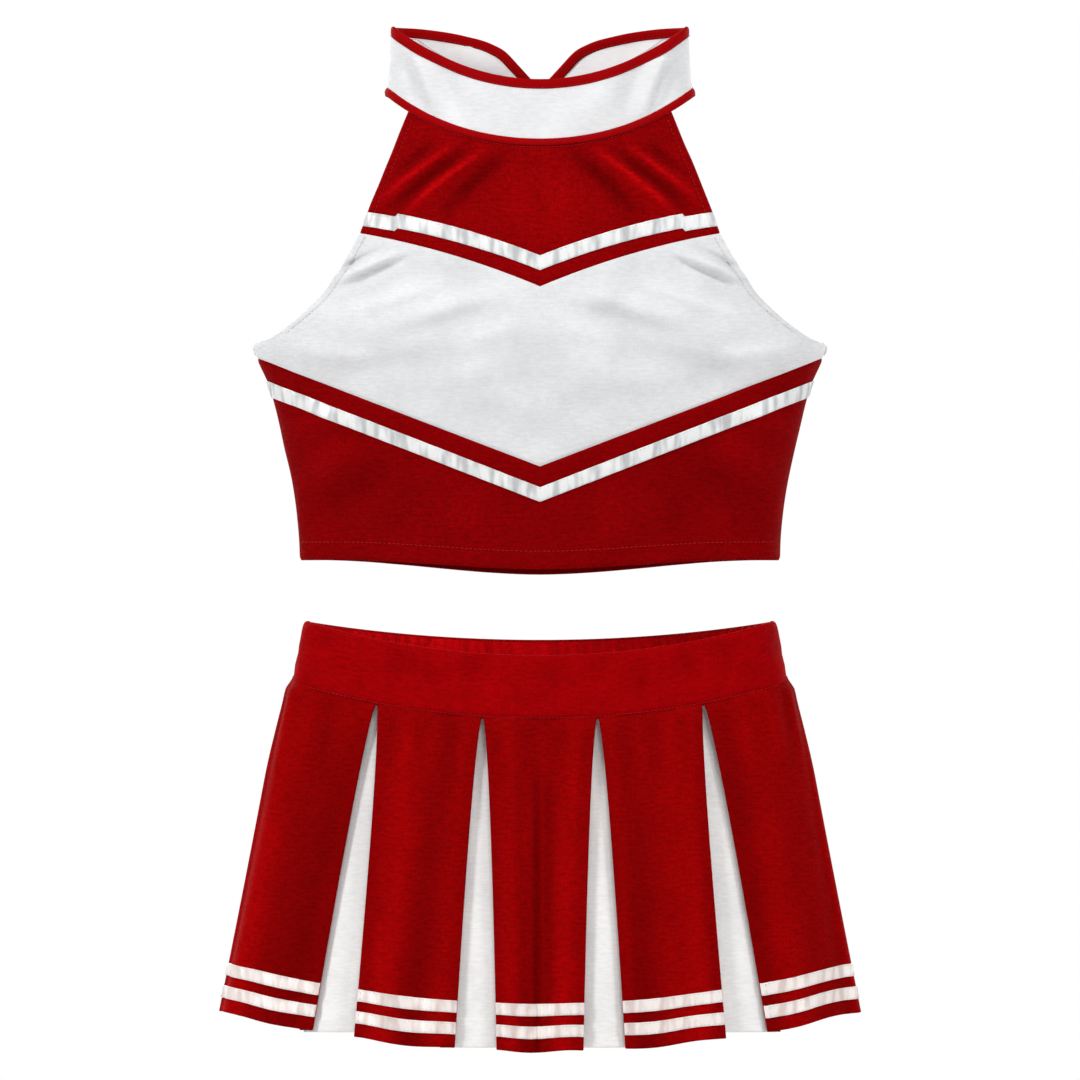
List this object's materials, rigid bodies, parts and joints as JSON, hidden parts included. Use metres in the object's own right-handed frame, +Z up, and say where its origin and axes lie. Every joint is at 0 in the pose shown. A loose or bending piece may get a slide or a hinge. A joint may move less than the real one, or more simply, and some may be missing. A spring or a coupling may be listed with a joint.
{
  "type": "cheer uniform",
  "caption": "Two-piece cheer uniform: halter crop top with a standing collar, chevron panels and ribbons, over a short pleated skirt with an elastic waistband.",
  "frame": {"origin": "middle of the waist opening, level with the front of the waistband's top edge", "axes": "+Z up towards the collar, +X to the right as seen from the front, +Y from the front to the back"},
  "size_m": [0.4468, 0.161, 0.7169],
  "materials": {
    "top_red_knit": "matte knit",
    "pleat_red_knit": "matte knit",
    "waist_red_knit": "matte knit",
    "white_knit": "matte knit",
    "white_pleat_knit": "matte knit",
    "top_ribbon": "satin",
    "skirt_ribbon": "satin",
    "red_binding": "ribbed knit",
    "elastic": "woven elastic",
    "label": "woven satin",
    "loop_tape": "looped pile",
    "hook_tape": "moulded hooks"
  },
  "bodies": {
    "skirt": {"waistband_front": "waist_red_knit", "waistband_back": "waist_red_knit", "waistband_elastic": "elastic", "waistband_side_seams": "waist_red_knit", "skirt_label": "label"},
    "top": {"front_yoke": "top_red_knit", "front_middle_panel": "white_knit", "front_lower_panel": "top_red_knit", "front_upper_ribbon": "top_ribbon", "front_lower_ribbon": "top_ribbon", "back_middle_panel": "white_knit", "back_lower_panel": "top_red_knit", "back_ribbon": "top_ribbon", "back_top_band": "red_binding", "armhole_hem_left": "top_red_knit", "armhole_hem_right": "top_red_knit", "top_side_seam_left": "top_red_knit", "top_side_seam_right": "top_red_knit", "top_label": "label", "collar_front": "white_knit", "collar_front_binding": "red_binding", "collar_front_piping": "red_binding"},
    "collar_left_half": {"collar_left": "white_knit", "collar_left_binding": "red_binding", "closure_tab": "white_knit", "hook_tape": "hook_tape"},
    "collar_right_half": {"collar_right": "white_knit", "collar_right_binding": "red_binding", "loop_tape": "loop_tape"},
    "front_pleat_1_body": {"front_pleat_1": "pleat_red_knit", "front_pleat_1_ribbons": "skirt_ribbon"},
    "front_insert_1_body": {"front_insert_1": "white_pleat_knit"},
    "front_pleat_2_body": {"front_pleat_2": "pleat_red_knit", "front_pleat_2_ribbons": "skirt_ribbon"},
    "front_insert_2_body": {"front_insert_2": "white_pleat_knit"},
    "front_pleat_3_body": {"front_pleat_3": "pleat_red_knit", "front_pleat_3_ribbons": "skirt_ribbon"},
    "front_insert_3_body": {"front_insert_3": "white_pleat_knit"},
    "front_pleat_4_body": {"front_pleat_4": "pleat_red_knit", "front_pleat_4_ribbons": "skirt_ribbon"},
    "front_insert_4_body": {"front_insert_4": "white_pleat_knit"},
    "front_pleat_5_body": {"front_pleat_5": "pleat_red_knit", "front_pleat_5_ribbons": "skirt_ribbon"},
    "back_pleat_1_body": {"back_pleat_1": "pleat_red_knit", "back_pleat_1_ribbons": "skirt_ribbon"},
    "back_insert_1_body": {"back_insert_1": "white_pleat_knit"},
    "back_pleat_2_body": {"back_pleat_2": "pleat_red_knit", "back_pleat_2_ribbons": "skirt_ribbon"},
    "back_insert_2_body": {"back_insert_2": "white_pleat_knit"},
    "back_pleat_3_body": {"back_pleat_3": "pleat_red_knit", "back_pleat_3_ribbons": "skirt_ribbon"},
    "back_insert_3_body": {"back_insert_3": "white_pleat_knit"},
    "back_pleat_4_body": {"back_pleat_4": "pleat_red_knit", "back_pleat_4_ribbons": "skirt_ribbon"},
    "back_insert_4_body": {"back_insert_4": "white_pleat_knit"},
    "back_pleat_5_body": {"back_pleat_5": "pleat_red_knit", "back_pleat_5_ribbons": "skirt_ribbon"},
    "side_insert_left_body": {"side_insert_left": "white_pleat_knit"},
    "side_insert_right_body": {"side_insert_right": "white_pleat_knit"}
  },
  "joints": [
    {"name": "top_lift", "type": "slide", "parent": "skirt", "child": "top", "axis": [0, 0, 1], "range_m": [0, 0.3]},
    {"name": "collar_left_open", "type": "hinge", "parent": "top", "child": "collar_left_half", "pos_m": [-0.1088, 0, 0.391], "axis": [0.0955, 0, 0.9954], "range_deg": [0, 80]},
    {"name": "collar_right_open", "type": "hinge", "parent": "top", "child": "collar_right_half", "pos_m": [0.1088, 0, 0.391], "axis": [0.0955, 0, -0.9954], "range_deg": [0, 40]},
    {"name": "front_pleat_1_flare", "type": "hinge", "parent": "skirt", "child": "front_pleat_1_body", "pos_m": [-0.14569, -0.02284, -0.02712], "axis": [-0.8407, 0.4999, 0.2081], "range_deg": [0, 8]},
    {"name": "front_insert_1_flare", "type": "hinge", "parent": "skirt", "child": "front_insert_1_body", "pos_m": [-0.1145, -0.03499, -0.03438], "axis": [-0.9551, 0.2315, 0.185], "range_deg": [0, 7.2]},
    {"name": "front_pleat_2_flare", "type": "hinge", "parent": "skirt", "child": "front_pleat_2_body", "pos_m": [-0.0774, -0.0433, -0.03985], "axis": [-0.981, 0.1456, 0.1284], "range_deg": [0, 8]},
    {"name": "front_insert_2_flare", "type": "hinge", "parent": "skirt", "child": "front_insert_2_body", "pos_m": [-0.0403, -0.04587, -0.0441], "axis": [-0.9953, 0.0689, 0.0679], "range_deg": [0, 7.2]},
    {"name": "front_pleat_3_flare", "type": "hinge", "parent": "skirt", "child": "front_pleat_3_body", "pos_m": [0, -0.04873, -0.04481], "axis": [-1, 0, 0], "range_deg": [0, 8]},
    {"name": "front_insert_3_flare", "type": "hinge", "parent": "skirt", "child": "front_insert_3_body", "pos_m": [0.0403, -0.04587, -0.0441], "axis": [-0.9953, -0.0689, -0.0679], "range_deg": [0, 7.2]},
    {"name": "front_pleat_4_flare", "type": "hinge", "parent": "skirt", "child": "front_pleat_4_body", "pos_m": [0.0774, -0.0433, -0.03985], "axis": [-0.981, -0.1456, -0.1284], "range_deg": [0, 8]},
    {"name": "front_insert_4_flare", "type": "hinge", "parent": "skirt", "child": "front_insert_4_body", "pos_m": [0.1145, -0.03499, -0.03438], "axis": [-0.9551, -0.2315, -0.185], "range_deg": [0, 7.2]},
    {"name": "front_pleat_5_flare", "type": "hinge", "parent": "skirt", "child": "front_pleat_5_body", "pos_m": [0.14569, -0.02284, -0.02712], "axis": [-0.8407, -0.4999, -0.2081], "range_deg": [0, 8]},
    {"name": "back_pleat_1_flare", "type": "hinge", "parent": "skirt", "child": "back_pleat_1_body", "pos_m": [-0.14569, 0.02259, -0.02528], "axis": [0.8508, 0.4996, -0.1629], "range_deg": [0, 8]},
    {"name": "back_insert_1_flare", "type": "hinge", "parent": "skirt", "child": "back_insert_1_body", "pos_m": [-0.1145, 0.03454, -0.0309], "axis": [0.9629, 0.2281, -0.1443], "range_deg": [0, 7.2]},
    {"name": "back_pleat_2_flare", "type": "hinge", "parent": "skirt", "child": "back_pleat_2_body", "pos_m": [-0.0774, 0.04269, -0.03513], "axis": [0.9848, 0.1424, -0.0998], "range_deg": [0, 8]},
    {"name": "back_insert_2_flare", "type": "hinge", "parent": "skirt", "child": "back_insert_2_body", "pos_m": [-0.0403, 0.04512, -0.03841], "axis": [0.9964, 0.0668, -0.0525], "range_deg": [0, 7.2]},
    {"name": "back_pleat_3_flare", "type": "hinge", "parent": "skirt", "child": "back_pleat_3_body", "pos_m": [0, 0.04796, -0.03897], "axis": [1, 0, 0], "range_deg": [0, 8]},
    {"name": "back_insert_3_flare", "type": "hinge", "parent": "skirt", "child": "back_insert_3_body", "pos_m": [0.0403, 0.04512, -0.03841], "axis": [0.9964, -0.0668, 0.0525], "range_deg": [0, 7.2]},
    {"name": "back_pleat_4_flare", "type": "hinge", "parent": "skirt", "child": "back_pleat_4_body", "pos_m": [0.0774, 0.04269, -0.03513], "axis": [0.9848, -0.1424, 0.0998], "range_deg": [0, 8]},
    {"name": "back_insert_4_flare", "type": "hinge", "parent": "skirt", "child": "back_insert_4_body", "pos_m": [0.1145, 0.03454, -0.0309], "axis": [0.9629, -0.2281, 0.1443], "range_deg": [0, 7.2]},
    {"name": "back_pleat_5_flare", "type": "hinge", "parent": "skirt", "child": "back_pleat_5_body", "pos_m": [0.14569, 0.02259, -0.02528], "axis": [0.8508, -0.4996, 0.1629], "range_deg": [0, 8]},
    {"name": "side_insert_left_flare", "type": "hinge", "parent": "skirt", "child": "side_insert_left_body", "pos_m": [-0.1746, 0, -0.019], "axis": [0, 1, 0], "range_deg": [0, 7.2]},
    {"name": "side_insert_right_flare", "type": "hinge", "parent": "skirt", "child": "side_insert_right_body", "pos_m": [0.1746, 0, -0.019], "axis": [0, -1, 0], "range_deg": [0, 7.2]}
  ],
  "couplings": [
    {"joint": "collar_right_open", "follows": "collar_left_open", "ratio": 0.5},
    {"joint": "front_pleat_1_flare", "follows": "front_pleat_3_flare", "ratio": 1},
    {"joint": "front_insert_1_flare", "follows": "front_pleat_3_flare", "ratio": 0.9},
    {"joint": "front_pleat_2_flare", "follows": "front_pleat_3_flare", "ratio": 1},
    {"joint": "front_insert_2_flare", "follows": "front_pleat_3_flare", "ratio": 0.9},
    {"joint": "front_insert_3_flare", "follows": "front_pleat_3_flare", "ratio": 0.9},
    {"joint": "front_pleat_4_flare", "follows": "front_pleat_3_flare", "ratio": 1},
    {"joint": "front_insert_4_flare", "follows": "front_pleat_3_flare", "ratio": 0.9},
    {"joint": "front_pleat_5_flare", "follows": "front_pleat_3_flare", "ratio": 1},
    {"joint": "back_pleat_1_flare", "follows": "front_pleat_3_flare", "ratio": 1},
    {"joint": "back_insert_1_flare", "follows": "front_pleat_3_flare", "ratio": 0.9},
    {"joint": "back_pleat_2_flare", "follows": "front_pleat_3_flare", "ratio": 1},
    {"joint": "back_insert_2_flare", "follows": "front_pleat_3_flare", "ratio": 0.9},
    {"joint": "back_pleat_3_flare", "follows": "front_pleat_3_flare", "ratio": 1},
    {"joint": "back_insert_3_flare", "follows": "front_pleat_3_flare", "ratio": 0.9},
    {"joint": "back_pleat_4_flare", "follows": "front_pleat_3_flare", "ratio": 1},
    {"joint": "back_insert_4_flare", "follows": "front_pleat_3_flare", "ratio": 0.9},
    {"joint": "back_pleat_5_flare", "follows": "front_pleat_3_flare", "ratio": 1},
    {"joint": "side_insert_left_flare", "follows": "front_pleat_3_flare", "ratio": 0.9},
    {"joint": "side_insert_right_flare", "follows": "front_pleat_3_flare", "ratio": 0.9}
  ]
}
